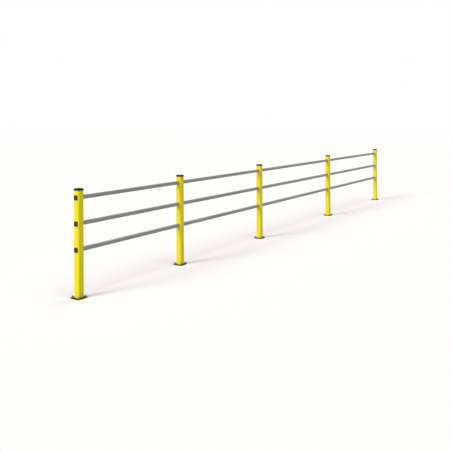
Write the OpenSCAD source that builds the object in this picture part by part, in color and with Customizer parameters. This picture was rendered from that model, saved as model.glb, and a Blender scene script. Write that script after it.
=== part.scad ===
// Modular handrail: hollow posts on bolted base plates, joined in bays by three
// square rails that pass through snug windows in the posts.
// The row runs along +X from the first post. The origin is on the floor, under
// the middle of the first post's base plate. Faces turned to -Y are the front.

/* [Row] */
// First bay, from post centre to post centre
bay_1_length = 1645; // [600:5:3000]
// Second bay, from post centre to post centre
bay_2_length = 1920; // [600:5:3000]
// Third bay, from post centre to post centre
bay_3_length = 2470; // [600:5:3000]
// Fourth bay, from post centre to post centre
bay_4_length = 2470; // [600:5:3000]

/* [Posts] */
// Height from the floor to the top of a post's cap
post_height = 1100; // [950:5:1500]
// Width of a post's square section, across its flats
post_side = 75; // [66:1:110]
// Outer corner radius of a post
post_corner = 16; // [8:0.5:24]
// Wall thickness of a post
post_wall = 5; // [3:0.5:7]

/* [Rails] */
// Width and height of a rail's square section
rail_side = 40; // [28:1:48]
// Outer corner radius of a rail
rail_corner = 7; // [4:0.5:12]
// Wall thickness of a rail
rail_wall = 3.5; // [2:0.5:4]
// Drop from the top of a post's cap to the centre of the top rail
top_rail_drop = 94; // [80:1:150]
// Distance between the centres of neighbouring rails
rail_pitch = 261; // [120:1:300]
// Clearance on each side of a rail in a post's window
window_clearance = 0.5; // [0.2:0.1:1.5]
// Gap between two rails that meet inside a post
rail_joint_gap = 2; // [1:0.5:6]

/* [Rail end caps] */
// Amount that the cap at a rail's end stands past the rail on each side
end_cap_overlap = 5; // [4:0.5:8]
// Thickness of the cap's flange on the post
end_cap_flange = 5; // [3:0.5:10]
// Bevel round the flange's outer edge
end_cap_bevel = 1.5; // [0.5:0.5:2.5]
// Depth of the cap's plug inside the rail
end_cap_plug_depth = 20; // [8:1:40]
// Clearance on each side of a plug
plug_clearance = 0.3; // [0.1:0.1:1]

/* [Post caps] */
// Height of a post cap above the post
post_cap_height = 23; // [19:1:32]
// Straight height of the cap's rim
post_cap_rim = 15; // [4:0.5:18]
// Height of the low crown on top of the rounded edge
post_cap_crown = 3; // [0.5:0.5:6]
// Amount that the cap stands past the post on each side
post_cap_overhang = 1.5; // [0:0.5:3]
// Depth of the cap's hollow plug inside the post
post_cap_plug_depth = 22; // [8:1:30]
// Wall thickness of that plug
post_cap_plug_wall = 3; // [2:0.5:5]

/* [Base plates] */
// Width of the square base plate past the post on each side
plate_margin = 25; // [25:0.5:60]
// Thickness of the base plate
plate_thickness = 8; // [6:1:16]
// Corner radius of the base plate
plate_corner = 5; // [2:1:12]
// Diameter of each anchor hole
anchor_hole_diameter = 14; // [10:0.5:18]
// Distance from a hole's centre to the plate's edges
anchor_hole_inset = 17.5; // [14:0.5:20]
// Height of the spigot that stands inside the post
spigot_height = 110; // [60:1:150]
// Wall thickness of the spigot
spigot_wall = 4; // [3:0.5:6]
// Clearance on each side of the spigot
spigot_clearance = 0.5; // [0.2:0.1:1.5]

/* [Hidden] */
bay_lengths = [bay_1_length, bay_2_length, bay_3_length, bay_4_length];
bays = len(bay_lengths);
posts = bays + 1;
levels = ["top", "middle", "bottom"];
row_ends = ["first", "last"];

// How far a cut runs past the faces that it opens
cut = 1;
// Steps in the rounded edge of a post cap
edge_steps = 5;
// Thickness of the slices that a rounded or bevelled shape is hulled from
slice = 0.2;
// Part of the cap's width that its crown takes up at the very top
crown_share = 0.45;

post_inner = post_side - 2 * post_wall;
post_inner_corner = max(post_corner - post_wall, 1);
post_top = post_height - post_cap_height;
rail_inner = rail_side - 2 * rail_wall;
rail_inner_corner = max(rail_corner - rail_wall, 1);
end_cap_side = rail_side + 2 * end_cap_overlap;
plate_side = post_side + 2 * plate_margin;

// Distance of post i from the first post
function post_x(i) = i == 1 ? 0 : post_x(i - 1) + bay_lengths[i - 2];

// Height of the centre line of rail number level, 0 being the top one
function rail_z(level) = post_height - top_rail_drop - level * rail_pitch;

module rounded_square(side, corner) {
    square([side, side - 2 * corner], center = true);
    square([side - 2 * corner, side], center = true);
    for (sx = [-1, 1], sy = [-1, 1])
        translate([sx, sy] * (side / 2 - corner)) circle(r = corner, $fn = 32);
}

module upright_bar(side, corner, length) {
    linear_extrude(length) rounded_square(side, corner);
}

// The same bar lying along +X from its own origin
module lying_bar(side, corner, length) {
    rotate([0, 90, 0]) upright_bar(side, corner, length);
}

module base_plate(i) {
    hole_offset = plate_side / 2 - anchor_hole_inset;
    spigot_side = post_inner - 2 * spigot_clearance;
    spigot_corner = max(post_inner_corner - spigot_clearance, 1);
    color([0.24, 0.23, 0.23]) translate([post_x(i), 0, 0]) {
        difference() {
            upright_bar(plate_side, plate_corner, plate_thickness);
            for (sx = [-1, 1], sy = [-1, 1])
                translate([sx * hole_offset, sy * hole_offset, -cut])
                    cylinder(d = anchor_hole_diameter, h = plate_thickness + 2 * cut, $fn = 48);
        }
        difference() {
            upright_bar(spigot_side, spigot_corner, plate_thickness + spigot_height);
            translate([0, 0, plate_thickness])
                upright_bar(spigot_side - 2 * spigot_wall, max(spigot_corner - spigot_wall, 1),
                            spigot_height + cut);
        }
    }
}

module post(i) {
    window_side = rail_side + 2 * window_clearance;
    color([0.96, 0.90, 0.13]) translate([post_x(i), 0, 0]) difference() {
        translate([0, 0, plate_thickness])
            upright_bar(post_side, post_corner, post_top - plate_thickness);
        translate([0, 0, plate_thickness - cut])
            upright_bar(post_inner, post_inner_corner, post_top - plate_thickness + 2 * cut);
        for (level = [0:len(levels) - 1])
            translate([-post_side / 2 - cut, 0, rail_z(level)])
                lying_bar(window_side, rail_corner + window_clearance, post_side + 2 * cut);
    }
}

module post_cap(i) {
    cap_side = post_side + 2 * post_cap_overhang;
    cap_corner = post_corner + post_cap_overhang;
    plug_side = post_inner - 2 * plug_clearance;
    plug_corner = max(post_inner_corner - plug_clearance, 1);
    edge_height = post_cap_height - post_cap_rim - post_cap_crown;
    edge_inset = min(edge_height, cap_corner - 1);
    color([0.16, 0.16, 0.16]) translate([post_x(i), 0, post_top]) {
        hull() {
            upright_bar(cap_side, cap_corner, post_cap_rim);
            for (step = [1:edge_steps]) {
                angle = 90 * step / edge_steps;
                inset = edge_inset * (1 - cos(angle));
                translate([0, 0, post_cap_rim + edge_height * sin(angle) - slice])
                    upright_bar(cap_side - 2 * inset, cap_corner - inset, slice);
            }
            translate([0, 0, post_cap_height - slice])
                upright_bar(cap_side * crown_share, cap_corner * crown_share, slice);
        }
        translate([0, 0, -post_cap_plug_depth]) difference() {
            upright_bar(plug_side, plug_corner, post_cap_plug_depth + slice);
            translate([0, 0, -cut])
                upright_bar(plug_side - 2 * post_cap_plug_wall,
                            max(plug_corner - post_cap_plug_wall, 1), post_cap_plug_depth + cut);
        }
    }
}

// A rail ends flush with the outer face of an end post, and by the middle of any other
module rail(level, bay) {
    start = bay == 1 ? -post_side / 2 : post_x(bay) + rail_joint_gap / 2;
    finish = bay == bays ? post_x(posts) + post_side / 2 : post_x(bay + 1) - rail_joint_gap / 2;
    color([0.50, 0.50, 0.48]) translate([start, 0, rail_z(level)]) difference() {
        lying_bar(rail_side, rail_corner, finish - start);
        translate([-cut, 0, 0]) lying_bar(rail_inner, rail_inner_corner, finish - start + 2 * cut);
    }
}

module end_cap_shape() {
    plug_side = rail_inner - 2 * plug_clearance;
    plug_corner = max(rail_inner_corner - plug_clearance, 1);
    hull() {
        lying_bar(end_cap_side, rail_corner, end_cap_flange - end_cap_bevel);
        translate([end_cap_flange - slice, 0, 0])
            lying_bar(end_cap_side - 2 * end_cap_bevel, rail_corner - end_cap_bevel, slice);
    }
    translate([-end_cap_plug_depth, 0, 0])
        lying_bar(plug_side, plug_corner, end_cap_plug_depth + slice);
}

module end_cap(level, end) {
    at_first = end == "first";
    face_x = at_first ? -post_side / 2 : post_x(posts) + post_side / 2;
    color([0.20, 0.19, 0.19]) translate([face_x, 0, rail_z(level)])
        mirror([at_first ? 1 : 0, 0, 0]) end_cap_shape();
}

for (i = [1:posts]) {
    base_plate(i);
    post(i);
    post_cap(i);
}
for (level = [0:len(levels) - 1], i = [1:bays])
    rail(level, i);
for (level = [0:len(levels) - 1], end = row_ends)
    end_cap(level, end);
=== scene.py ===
import math

import bpy
import bmesh
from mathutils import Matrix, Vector

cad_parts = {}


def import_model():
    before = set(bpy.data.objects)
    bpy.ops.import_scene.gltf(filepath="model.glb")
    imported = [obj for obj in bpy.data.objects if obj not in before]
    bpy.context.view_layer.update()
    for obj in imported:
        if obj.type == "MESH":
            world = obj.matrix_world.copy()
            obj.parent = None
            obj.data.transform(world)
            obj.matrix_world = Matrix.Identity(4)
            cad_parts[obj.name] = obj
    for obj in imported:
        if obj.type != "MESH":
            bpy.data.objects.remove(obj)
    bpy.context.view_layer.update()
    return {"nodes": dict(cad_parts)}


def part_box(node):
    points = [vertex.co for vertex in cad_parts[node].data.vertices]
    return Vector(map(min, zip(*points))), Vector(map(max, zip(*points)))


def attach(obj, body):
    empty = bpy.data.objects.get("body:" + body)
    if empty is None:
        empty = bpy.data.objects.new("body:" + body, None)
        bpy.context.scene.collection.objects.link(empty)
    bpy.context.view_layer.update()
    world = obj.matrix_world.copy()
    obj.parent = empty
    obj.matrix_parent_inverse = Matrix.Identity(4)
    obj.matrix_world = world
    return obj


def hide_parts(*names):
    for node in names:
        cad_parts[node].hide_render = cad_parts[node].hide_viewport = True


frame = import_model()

LEVELS = ("top", "middle", "bottom")
ROW_ENDS = ("first", "last")
POSTS = sum(name.startswith("base_plate_") for name in frame["nodes"])

# Sizes of the CAD model that the nodes' boxes don't give
POST_CORNER = 0.016
POST_WALL = 0.005
RAIL_CORNER = 0.007
RAIL_WALL = 0.0035
CAP_RIM = 0.015
CAP_CROWN = 0.003
CAP_PLUG_WALL = 0.003
PLUG_CLEARANCE = 0.0003
FLANGE_BEVEL = 0.0015
PLATE_THICKNESS = 0.008
PLATE_CORNER = 0.005
HOLE_RADIUS = 0.007
HOLE_INSET = 0.0175
SPIGOT_CLEARANCE = 0.0005
SPIGOT_WALL = 0.004

# Soft edges and faces of the rebuilt pieces
CAP_LIP = 0.0005
CAP_EDGE_STEPS = 8
END_CAP_LEAD_IN = 0.001
END_CAP_PILLOW = 0.0006
END_CAP_RIM_STEPS = 5
PLATE_EASE = 0.001
PLATE_CORNER_STEPS = 6
HOLE_EASE_SHARE = 0.5  # Of the plate's ease
CROWN_REACH = 0.97  # Part of the way to the middle that a crowned face's rings go
CROWN_STEPS = 6

# Floor anchors
STUD_RADIUS = 0.006
STUD_CHAMFER = 0.0012
STUD_STAND = 0.009  # Above the nut
STUD_POINTS = 20
THREAD_PITCH = 0.00175
THREAD_DEPTH = 0.0009
ROWS_PER_PITCH = 6
NUT_APOTHEM = 0.0095
NUT_HEIGHT = 0.010
NUT_FACE_SHARE = 0.96  # Radius of the nut's flat faces, as a part of its apothem
NUT_CHAMFER = math.radians(30)
NUT_CHAMFER_STEPS = 4
NUT_GRIP_SHARE = 0.3  # Part of the thread's depth that the nut's bore reaches in
NUT_LEAD_IN = 0.0006
NUT_POINTS = 48
NUT_TURNS = (37, 23)  # Degrees from one nut to the next, and from plate to plate
WASHER_RADIUS = 0.012
WASHER_THICKNESS = 0.0025
WASHER_EASE = 0.0004
WASHER_CLEARANCE = 0.0004


# ---------------------------------------------------------------- mesh helpers

WELD_DISTANCE = 1e-6
SMOOTH_LIMIT = math.radians(35)


def new_piece(name, bm, material):
    """Turns a bmesh into a piece that rides on the row, shaded smooth up to an angle."""
    bmesh.ops.remove_doubles(bm, verts=bm.verts, dist=WELD_DISTANCE)
    bmesh.ops.recalc_face_normals(bm, faces=bm.faces)
    for face in bm.faces:
        face.smooth = True
    for edge in bm.edges:
        edge.smooth = len(edge.link_faces) == 2 and edge.calc_face_angle() < SMOOTH_LIMIT
    mesh = bpy.data.meshes.new(name)
    bm.to_mesh(mesh)
    bm.free()
    piece = bpy.data.objects.new(name, mesh)
    bpy.context.scene.collection.objects.link(piece)
    mesh.materials.append(material)
    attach(piece, "root")
    return piece


def footprint_middle(low, high):
    """The point on the floor under the middle of a box."""
    return Vector(((low.x + high.x) / 2, (low.y + high.y) / 2, 0))


def shift_by(offset):
    """A function that moves a point by an offset."""
    return lambda point: point + offset


def square_ring(side, corner, height, steps=8):
    """Points of a square with rounded corners, counter-clockwise, at one height."""
    reach = side / 2 - corner
    points = []
    for quarter in range(4):
        middle = math.radians(45 + 90 * quarter)
        centre_x = math.copysign(reach, math.cos(middle))
        centre_y = math.copysign(reach, math.sin(middle))
        for step in range(steps + 1):
            angle = math.radians(90 * (quarter + step / steps))
            points.append(Vector((centre_x + corner * math.cos(angle),
                                  centre_y + corner * math.sin(angle), height)))
    return points


def circle_ring(centre_x, centre_y, radius, height, count=32):
    """Points of a circle, counter-clockwise, at one height."""
    return [Vector((centre_x + radius * math.cos(2 * math.pi * k / count),
                    centre_y + radius * math.sin(2 * math.pi * k / count), height))
            for k in range(count)]


def crown_rings(side, corner, top, rise):
    """Rings that go inwards over a square face, which rises towards its middle."""
    rings = []
    for step in range(1, CROWN_STEPS + 1):
        share = 1 - CROWN_REACH * step / CROWN_STEPS
        rings.append(square_ring(side * share, corner * share, top - rise * share ** 2))
    return rings


def loft(bm, rings, place, close_ends=True):
    """Skins rings of equally many points, and closes the first and the last."""
    rows = [[bm.verts.new(place(point)) for point in ring] for ring in rings]
    count = len(rows[0])
    for low, high in zip(rows, rows[1:]):
        for k in range(count):
            after = (k + 1) % count
            bm.faces.new((low[k], low[after], high[after], high[k]))
    if close_ends:
        bm.faces.new(reversed(rows[0]))
        bm.faces.new(rows[-1])


def loft_loop(bm, rings, place):
    """Skins rings into a closed tube wall whose last ring meets its first."""
    loft(bm, rings + [rings[0]], place, close_ends=False)


def add_loop(bm, ring, place):
    """The edges of a closed loop through a ring's points."""
    verts = [bm.verts.new(place(point)) for point in ring]
    return [bm.edges.new(pair) for pair in zip(verts, verts[1:] + verts[:1])]


# ---------------------------------------------------------------- node helpers

# Places of a mix node's colour sockets, whose names repeat for each data type
MIX_FIRST, MIX_SECOND, MIX_RESULT = 6, 7, 2


def shader(name, color, roughness, specular=0.5, metallic=0.0):
    """A material with its node tree and its Principled node."""
    material = bpy.data.materials.new(name)
    material.use_nodes = True
    tree = material.node_tree
    principled = tree.nodes["Principled BSDF"]
    principled.inputs["Base Color"].default_value = (*color, 1)
    principled.inputs["Roughness"].default_value = roughness
    principled.inputs["Specular IOR Level"].default_value = specular
    principled.inputs["Metallic"].default_value = metallic
    return material, tree, principled


def object_coords(tree):
    """Texture coordinates in metres."""
    return tree.nodes.new("ShaderNodeTexCoord").outputs["Object"]


def noise(tree, coords, scale, detail, roughness=0.5, stretch=(1, 1, 1)):
    """Noise of a given scale in cycles a metre, drawn out along an axis by its stretch."""
    mapping = tree.nodes.new("ShaderNodeMapping")
    mapping.inputs["Scale"].default_value = stretch
    tree.links.new(coords, mapping.inputs["Vector"])
    texture = tree.nodes.new("ShaderNodeTexNoise")
    texture.inputs["Scale"].default_value = scale
    texture.inputs["Detail"].default_value = detail
    texture.inputs["Roughness"].default_value = roughness
    tree.links.new(mapping.outputs["Vector"], texture.inputs["Vector"])
    return texture.outputs["Fac"]


def spread(tree, value, span, onto=(0, 1)):
    """Maps a span of values, from low to high, onto another one."""
    node = tree.nodes.new("ShaderNodeMapRange")
    ends = ("From Min", "From Max", "To Min", "To Max")
    for socket, end in zip(ends, (*span, *onto)):
        node.inputs[socket].default_value = end
    tree.links.new(value, node.inputs["Value"])
    return node.outputs["Result"]


def mix_color(tree, factor, first, second):
    """Mixes two colours, each a tuple or another node's output."""
    node = tree.nodes.new("ShaderNodeMix")
    node.data_type = "RGBA"
    tree.links.new(factor, node.inputs["Factor"])
    for socket, value in ((MIX_FIRST, first), (MIX_SECOND, second)):
        if isinstance(value, tuple):
            node.inputs[socket].default_value = (*value, 1)
        else:
            tree.links.new(value, node.inputs[socket])
    return node.outputs[MIX_RESULT]


def bump(tree, height, distance, strength, below=None):
    """A bump of a given height in metres, on top of another one."""
    node = tree.nodes.new("ShaderNodeBump")
    node.inputs["Distance"].default_value = distance
    node.inputs["Strength"].default_value = strength
    tree.links.new(height, node.inputs["Height"])
    if below is not None:
        tree.links.new(below, node.inputs["Normal"])
    return node.outputs["Normal"]


# ---------------------------------------------------------------- materials

ALONG_X = (True, False, False)
ALONG_Z = (False, False, True)
MOST_NOISE = (0.3, 0.7)  # The span that holds nearly all of a noise


def drawn_out(along, share):
    """A stretch that scales noise down along the marked axis."""
    return tuple(share if axis else 1 for axis in along)


def polymer(name, color, shade, scuff, along, roughness, specular):
    """Satin moulded polymer: slow colour drift, die lines along it, a few rubbed scuffs."""
    material, tree, principled = shader(name, color, roughness, specular)
    coords = object_coords(tree)
    drift = noise(tree, coords, scale=2.5, detail=2)
    body = mix_color(tree, spread(tree, drift, MOST_NOISE), color, shade)
    rubbed = noise(tree, coords, scale=14, detail=6, roughness=0.7,
                   stretch=drawn_out(along, 0.25))
    scuffed = mix_color(tree, spread(tree, rubbed, (0.66, 0.8), onto=(0, 0.5)), body, scuff)
    tree.links.new(scuffed, principled.inputs["Base Color"])
    patches = noise(tree, coords, scale=9, detail=4)
    tree.links.new(spread(tree, patches, MOST_NOISE, onto=(roughness - 0.05, roughness + 0.07)),
                   principled.inputs["Roughness"])
    lines = noise(tree, coords, scale=260, detail=2, stretch=drawn_out(along, 0.006))
    grain = noise(tree, coords, scale=900, detail=2)
    die_lines = bump(tree, lines, distance=0.0004, strength=0.25)
    tree.links.new(bump(tree, grain, distance=0.0002, strength=0.2, below=die_lines),
                   principled.inputs["Normal"])
    return material


def moulded(name, color, worn, roughness, specular):
    """Black moulded plastic with a fine spark-eroded grain."""
    material, tree, principled = shader(name, color, roughness, specular)
    coords = object_coords(tree)
    cloud = noise(tree, coords, scale=40, detail=4)
    tree.links.new(mix_color(tree, spread(tree, cloud, (0.35, 0.75)), color, worn),
                   principled.inputs["Base Color"])
    tree.links.new(spread(tree, cloud, MOST_NOISE, onto=(roughness - 0.06, roughness + 0.08)),
                   principled.inputs["Roughness"])
    grain = noise(tree, coords, scale=1400, detail=2)
    tree.links.new(bump(tree, grain, distance=0.0003, strength=0.35),
                   principled.inputs["Normal"])
    return material


def powder_coat(name, color, worn, roughness, specular):
    """Dark powder-coated steel: orange-peel skin, dusty patches."""
    material, tree, principled = shader(name, color, roughness, specular)
    coords = object_coords(tree)
    dust = noise(tree, coords, scale=30, detail=6, roughness=0.65)
    tree.links.new(mix_color(tree, spread(tree, dust, (0.45, 0.8)), color, worn),
                   principled.inputs["Base Color"])
    tree.links.new(spread(tree, dust, MOST_NOISE, onto=(roughness - 0.06, roughness + 0.1)),
                   principled.inputs["Roughness"])
    peel = noise(tree, coords, scale=700, detail=2)
    tree.links.new(bump(tree, peel, distance=0.0004, strength=0.3),
                   principled.inputs["Normal"])
    return material


def plated_steel(name, color, dull, roughness):
    """Plated steel, dulled in soft patches."""
    material, tree, principled = shader(name, color, roughness, metallic=1.0)
    coords = object_coords(tree)
    patch = noise(tree, coords, scale=160, detail=5, roughness=0.6)
    tree.links.new(mix_color(tree, spread(tree, patch, (0.35, 0.7)), color, dull),
                   principled.inputs["Base Color"])
    tree.links.new(spread(tree, patch, MOST_NOISE, onto=(roughness - 0.08, roughness + 0.15)),
                   principled.inputs["Roughness"])
    brushed = noise(tree, coords, scale=1800, detail=2)
    tree.links.new(bump(tree, brushed, distance=0.0001, strength=0.2),
                   principled.inputs["Normal"])
    return material


YELLOW = polymer("yellow_polymer", color=(0.90, 0.76, 0.010), shade=(0.87, 0.72, 0.009),
                 scuff=(0.92, 0.82, 0.06), along=ALONG_Z, roughness=0.45, specular=0.22)
GREY = polymer("grey_polymer", color=(0.34, 0.333, 0.309), shade=(0.31, 0.303, 0.283),
               scuff=(0.41, 0.40, 0.378), along=ALONG_X, roughness=0.50, specular=0.30)
BLACK = moulded("black_cap_plastic", color=(0.022, 0.022, 0.021),
                worn=(0.032, 0.032, 0.031), roughness=0.75, specular=0.12)
END_BLACK = moulded("rail_cap_plastic", color=(0.028, 0.025, 0.023),
                    worn=(0.038, 0.034, 0.031), roughness=0.65, specular=0.18)
PLATE_COAT = powder_coat("dark_powder_coat", color=(0.026, 0.024, 0.023),
                         worn=(0.042, 0.039, 0.036), roughness=0.75, specular=0.06)
DARK_STEEL = plated_steel("dark_plated_steel", color=(0.28, 0.27, 0.255),
                          dull=(0.165, 0.158, 0.15), roughness=0.45)


# ---------------------------------------------------------------- posts and rails

# The post caps' nodes match the first test too, but the domed caps replace them
for name, node in frame["nodes"].items():
    if name.startswith("post_"):
        finish = YELLOW
    elif "_rail_" in name:
        finish = GREY
    else:
        continue
    for material_slot in node.material_slots:
        material_slot.material = finish


# ---------------------------------------------------------------- post caps

def post_cap(number):
    """Cap with a rounded edge and low crown, and the hollow plug that holds it."""
    low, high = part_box(f"post_cap_{number}")
    post_low, post_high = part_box(f"post_{number}")
    post_side = post_high.x - post_low.x
    seat = post_high.z
    side = high.x - low.x
    corner = POST_CORNER + (side - post_side) / 2
    edge = high.z - seat - CAP_RIM - CAP_CROWN
    plug_side = post_side - 2 * (POST_WALL + PLUG_CLEARANCE)
    plug_corner = POST_CORNER - POST_WALL - PLUG_CLEARANCE
    hollow_side = plug_side - 2 * CAP_PLUG_WALL
    hollow_corner = plug_corner - CAP_PLUG_WALL
    lip = CAP_LIP
    rings = [
        square_ring(hollow_side, hollow_corner, seat),
        square_ring(hollow_side, hollow_corner, low.z + lip),
        square_ring(hollow_side + 2 * lip, hollow_corner + lip, low.z),
        square_ring(plug_side - 2 * lip, plug_corner - lip, low.z),
        square_ring(plug_side, plug_corner, low.z + lip),
        square_ring(plug_side, plug_corner, seat),
        square_ring(side - 2 * lip, corner - lip, seat),
        square_ring(side, corner, seat + lip),
        square_ring(side, corner, seat + CAP_RIM),
    ]
    for step in range(1, CAP_EDGE_STEPS + 1):
        angle = math.radians(90 * step / CAP_EDGE_STEPS)
        inset = edge * (1 - math.cos(angle))
        rings.append(square_ring(side - 2 * inset, corner - inset,
                                 seat + CAP_RIM + edge * math.sin(angle)))
    rings += crown_rings(side - 2 * edge, corner - edge, high.z, CAP_CROWN)
    bm = bmesh.new()
    loft(bm, rings, shift_by(footprint_middle(low, high)))
    piece = new_piece(f"domed_cap_{number}", bm, BLACK)
    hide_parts(f"post_cap_{number}")


# ---------------------------------------------------------------- rail end caps

def end_cap(level, end):
    """Square cap with a rounded rim and pillowed face, and its plug inside the rail."""
    node = f"{level}_end_cap_{end}"
    low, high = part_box(node)
    rail_low, rail_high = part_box(f"{level}_rail_1")
    if end == "first":
        outward, outer_x, inner_x = -1, low.x, high.x
        face_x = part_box("post_1")[0].x
    else:
        outward, outer_x, inner_x = 1, high.x, low.x
        face_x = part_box(f"post_{POSTS}")[1].x
    middle_y = (low.y + high.y) / 2
    middle_z = (low.z + high.z) / 2
    side = high.y - low.y
    flange = abs(outer_x - face_x)
    depth = abs(inner_x - face_x)
    plug_side = rail_high.y - rail_low.y - 2 * (RAIL_WALL + PLUG_CLEARANCE)
    plug_corner = RAIL_CORNER - RAIL_WALL - PLUG_CLEARANCE
    rings = [
        square_ring(plug_side - 2 * END_CAP_LEAD_IN, plug_corner - END_CAP_LEAD_IN, -depth),
        square_ring(plug_side, plug_corner, -depth + END_CAP_LEAD_IN),
        square_ring(plug_side, plug_corner, 0),
        square_ring(side, RAIL_CORNER, 0),
    ]
    for step in range(END_CAP_RIM_STEPS + 1):
        angle = math.radians(90 * step / END_CAP_RIM_STEPS)
        inset = FLANGE_BEVEL * (1 - math.cos(angle))
        height = flange - END_CAP_PILLOW - FLANGE_BEVEL * (1 - math.sin(angle))
        rings.append(square_ring(side - 2 * inset, RAIL_CORNER - inset, height))
    rings += crown_rings(side - 2 * FLANGE_BEVEL, RAIL_CORNER - FLANGE_BEVEL, flange,
                         END_CAP_PILLOW)

    def place(point):
        """Lays the cap's height along the row, outwards from the post's face."""
        return Vector((face_x + outward * point.z, middle_y + point.x, middle_z + point.y))

    bm = bmesh.new()
    loft(bm, rings, place)
    piece = new_piece(f"{level}_rail_plug_{end}", bm, END_BLACK)
    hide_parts(node)


# ---------------------------------------------------------------- base plates

def base_plate(number):
    """Plate with eased edges and four drilled holes, and the spigot inside the post."""
    node = f"base_plate_{number}"
    low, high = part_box(node)
    post_low, post_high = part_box(f"post_{number}")
    place = shift_by(footprint_middle(low, high))
    side = high.x - low.x
    reach = side / 2 - HOLE_INSET
    centres = [(sx * reach, sy * reach) for sx in (-1, 1) for sy in (-1, 1)]

    def outline(inset, z):
        return square_ring(side - 2 * inset, PLATE_CORNER - inset, z, PLATE_CORNER_STEPS)

    def hole(centre, inset, z):
        return circle_ring(*centre, HOLE_RADIUS + inset * HOLE_EASE_SHARE, z)

    bm = bmesh.new()
    edge = [(PLATE_EASE, 0.0), (0.0, PLATE_EASE), (0.0, PLATE_THICKNESS - PLATE_EASE),
            (PLATE_EASE, PLATE_THICKNESS)]
    loft(bm, [outline(inset, z) for inset, z in edge], place, close_ends=False)
    for centre in centres:
        loft(bm, [hole(centre, inset, z) for inset, z in edge], place, close_ends=False)
    for z in (0.0, PLATE_THICKNESS):
        loops = add_loop(bm, outline(PLATE_EASE, z), place)
        for centre in centres:
            loops += add_loop(bm, hole(centre, PLATE_EASE, z), place)
        bmesh.ops.triangle_fill(bm, use_beauty=True, use_dissolve=False, edges=loops)
    spigot = post_high.x - post_low.x - 2 * (POST_WALL + SPIGOT_CLEARANCE)
    spigot_corner = POST_CORNER - POST_WALL - SPIGOT_CLEARANCE
    bore = spigot - 2 * SPIGOT_WALL
    bore_corner = spigot_corner - SPIGOT_WALL
    sunk = PLATE_THICKNESS - PLATE_EASE
    loft_loop(bm, [
        square_ring(spigot, spigot_corner, sunk),
        square_ring(spigot, spigot_corner, high.z - PLATE_EASE),
        square_ring(spigot - 2 * PLATE_EASE, spigot_corner - PLATE_EASE, high.z),
        square_ring(bore, bore_corner, high.z),
        square_ring(bore, bore_corner, sunk),
    ], place)
    piece = new_piece(f"coated_plate_{number}", bm, PLATE_COAT)
    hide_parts(node)


# ---------------------------------------------------------------- floor anchors

def washer(bm, place, bottom):
    """Flat washer with an eased outer edge."""
    top = bottom + WASHER_THICKNESS
    inner, outer = STUD_RADIUS + WASHER_CLEARANCE, WASHER_RADIUS
    profile = [(inner, bottom), (outer - WASHER_EASE, bottom), (outer, bottom + WASHER_EASE),
               (outer, top - WASHER_EASE), (outer - WASHER_EASE, top), (inner, top)]
    loft_loop(bm, [circle_ring(0, 0, radius, z) for radius, z in profile], place)


def nut(bm, place, bottom, turn):
    """Hexagon nut whose corners are turned down to a circle at both faces."""
    half_side = math.radians(30)  # Half of the angle that one of six sides takes up
    face_radius = NUT_APOTHEM * NUT_FACE_SHARE
    slope = math.tan(NUT_CHAMFER)
    corner_drop = (NUT_APOTHEM / math.cos(half_side) - face_radius) * slope
    top = bottom + NUT_HEIGHT
    bore = STUD_RADIUS - THREAD_DEPTH * NUT_GRIP_SHARE

    def ring(depth, z):
        """The nut's outline at a depth below the nearer face."""
        points = []
        for k in range(NUT_POINTS):
            angle = 2 * math.pi * k / NUT_POINTS
            from_flat = (angle + half_side) % (2 * half_side) - half_side
            radius = min(NUT_APOTHEM / math.cos(from_flat), face_radius + depth / slope)
            points.append(Vector((radius * math.cos(angle + turn),
                                  radius * math.sin(angle + turn), z)))
        return points

    depths = [corner_drop * k / NUT_CHAMFER_STEPS for k in range(NUT_CHAMFER_STEPS + 1)]
    rings = [circle_ring(0, 0, bore, bottom, NUT_POINTS)]
    rings += [ring(depth, bottom + depth) for depth in depths]
    rings += [ring(depth, top - depth) for depth in reversed(depths)]
    rings += [circle_ring(0, 0, bore + NUT_LEAD_IN, top, NUT_POINTS),
              circle_ring(0, 0, bore, top - NUT_LEAD_IN, NUT_POINTS)]
    loft_loop(bm, rings, place)


def stud(bm, place, bottom, thread_from, top):
    """Plain shank through the plate, then a helical thread up to a chamfered end."""
    root = STUD_RADIUS - THREAD_DEPTH
    rings = [circle_ring(0, 0, root, z, STUD_POINTS) for z in (bottom, thread_from)]
    rows = round((top - thread_from) / THREAD_PITCH * ROWS_PER_PITCH)
    for row in range(1, rows + 1):
        z = thread_from + (top - thread_from) * row / rows
        ring = []
        for k in range(STUD_POINTS):
            phase = ((z - thread_from) / THREAD_PITCH - k / STUD_POINTS) % 1.0
            radius = min(STUD_RADIUS - THREAD_DEPTH * abs(2 * phase - 1),
                         STUD_RADIUS - STUD_CHAMFER + (top - z))
            angle = 2 * math.pi * k / STUD_POINTS
            ring.append(Vector((radius * math.cos(angle), radius * math.sin(angle), z)))
        rings.append(ring)
    loft(bm, rings, place)


def anchors(number):
    """The four anchors of one plate: stud, washer and nut, each nut at its own angle."""
    low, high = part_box(f"base_plate_{number}")
    reach = (high.x - low.x) / 2 - HOLE_INSET
    middle = footprint_middle(low, high)
    seat = PLATE_THICKNESS + WASHER_THICKNESS
    each_nut, each_plate = NUT_TURNS
    bm = bmesh.new()
    for index, (sx, sy) in enumerate(((-1, -1), (-1, 1), (1, -1), (1, 1))):
        place = shift_by(middle + Vector((sx * reach, sy * reach, 0)))
        washer(bm, place, PLATE_THICKNESS)
        nut(bm, place, seat, math.radians(each_nut * index + each_plate * number))
        stud(bm, place, low.z, seat, seat + NUT_HEIGHT + STUD_STAND)
    new_piece(f"anchors_{number}", bm, DARK_STEEL)


for number in range(1, POSTS + 1):
    post_cap(number)
    base_plate(number)
    anchors(number)
for level in LEVELS:
    for end in ROW_ENDS:
        end_cap(level, end)


# ---------------------------------------------------------------- floor and light

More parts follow.
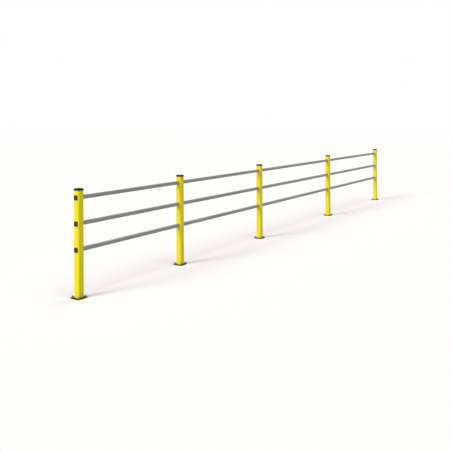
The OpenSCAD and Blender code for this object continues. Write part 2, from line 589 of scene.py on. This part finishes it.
# The floor as the camera and gloss see it, and the duller one that light bounces from
FLOOR_SEEN = (0.86, 0.835, 0.824)
FLOOR_BOUNCE = (0.55, 0.54, 0.53)
FLOOR_ROUGHNESS = 0.9
FLOOR_REACH = 60
WHITE = (1, 1, 1, 1)


def background_ray(tree):
    """One where a ray comes from the camera or through gloss or glass, or else zero."""
    path = tree.nodes.new("ShaderNodeLightPath")
    seen = path.outputs["Is Camera Ray"]
    for ray in ("Is Glossy Ray", "Is Transmission Ray"):
        either = tree.nodes.new("ShaderNodeMath")
        either.operation = "MAXIMUM"
        tree.links.new(seen, either.inputs[0])
        tree.links.new(path.outputs[ray], either.inputs[1])
        seen = either.outputs[0]
    return seen


def floor(reach):
    """A wide pale floor. The row stands on its top face."""
    mesh = bpy.data.meshes.new("floor")
    corners = [(-reach, -reach, 0), (reach, -reach, 0), (reach, reach, 0), (-reach, reach, 0)]
    mesh.from_pydata(corners, [], [(0, 1, 2, 3)])
    plane = bpy.data.objects.new("floor", mesh)
    bpy.context.scene.collection.objects.link(plane)
    material, tree, principled = shader("pale_floor", FLOOR_BOUNCE, FLOOR_ROUGHNESS,
                                        specular=0.0)
    tree.links.new(mix_color(tree, background_ray(tree), FLOOR_BOUNCE, FLOOR_SEEN),
                   principled.inputs["Base Color"])
    mesh.materials.append(material)


def sun(name, heading, height, strength, softness):
    """A sun whose light travels towards heading, from +X towards +Y, height degrees down."""
    data = bpy.data.lights.new(name, "SUN")
    data.energy = strength
    data.angle = math.radians(softness)
    lamp = bpy.data.objects.new(name, data)
    bpy.context.scene.collection.objects.link(lamp)
    heading, height = math.radians(heading), math.radians(height)
    travel = Vector((math.cos(heading) * math.cos(height),
                     math.sin(heading) * math.cos(height), -math.sin(height)))
    lamp.rotation_mode = "QUATERNION"
    lamp.rotation_quaternion = travel.to_track_quat("-Z", "Y")


def world(strength):
    """Dim light from all round, and a plain white background that gloss mirrors too."""
    scene_world = bpy.data.worlds.new("studio")
    bpy.context.scene.world = scene_world
    scene_world.use_nodes = True
    tree = scene_world.node_tree
    background = tree.nodes["Background"]
    background.inputs["Color"].default_value = WHITE
    level = spread(tree, background_ray(tree), (0, 1), onto=(strength, 1.0))
    tree.links.new(level, background.inputs["Strength"])


floor(FLOOR_REACH)
world(strength=0.1)
sun("low_light", heading=-20, height=35, strength=1.66, softness=20)
sun("far_light", heading=180, height=70, strength=0.93, softness=20)
sun("side_light", heading=0, height=30, strength=0.95, softness=40)
sun("front_light", heading=80, height=65, strength=1.25, softness=40)


# ---------------------------------------------------------------- camera

# It looks level, from eye height, from in front of the first post and along the row.
# Angles are in degrees, and a shift is a part of the sensor's width.
EYE_HEIGHT = 1.8038
BEFORE_FIRST_POST = 4.2434
IN_FRONT_OF_ROW = 4.5899
ROW_TO_SIGHT_LINE = 33.571
ROLL = 0.245
SENSOR_MM = 36
LENS_MM = 48.34
SHIFT_UP = -0.241
CLIP_END = 200

camera_data = bpy.data.cameras.new("camera")
camera_data.sensor_width = SENSOR_MM
camera_data.lens = LENS_MM
camera_data.shift_y = SHIFT_UP
camera_data.clip_end = CLIP_END
camera = bpy.data.objects.new("camera", camera_data)
camera.location = (-BEFORE_FIRST_POST, -IN_FRONT_OF_ROW, EYE_HEIGHT)
camera.rotation_euler = (math.radians(90), math.radians(ROLL),
                         math.radians(ROW_TO_SIGHT_LINE - 90))
bpy.context.scene.collection.objects.link(camera)
bpy.context.scene.camera = camera
bpy.context.scene.view_settings.view_transform = "Standard"
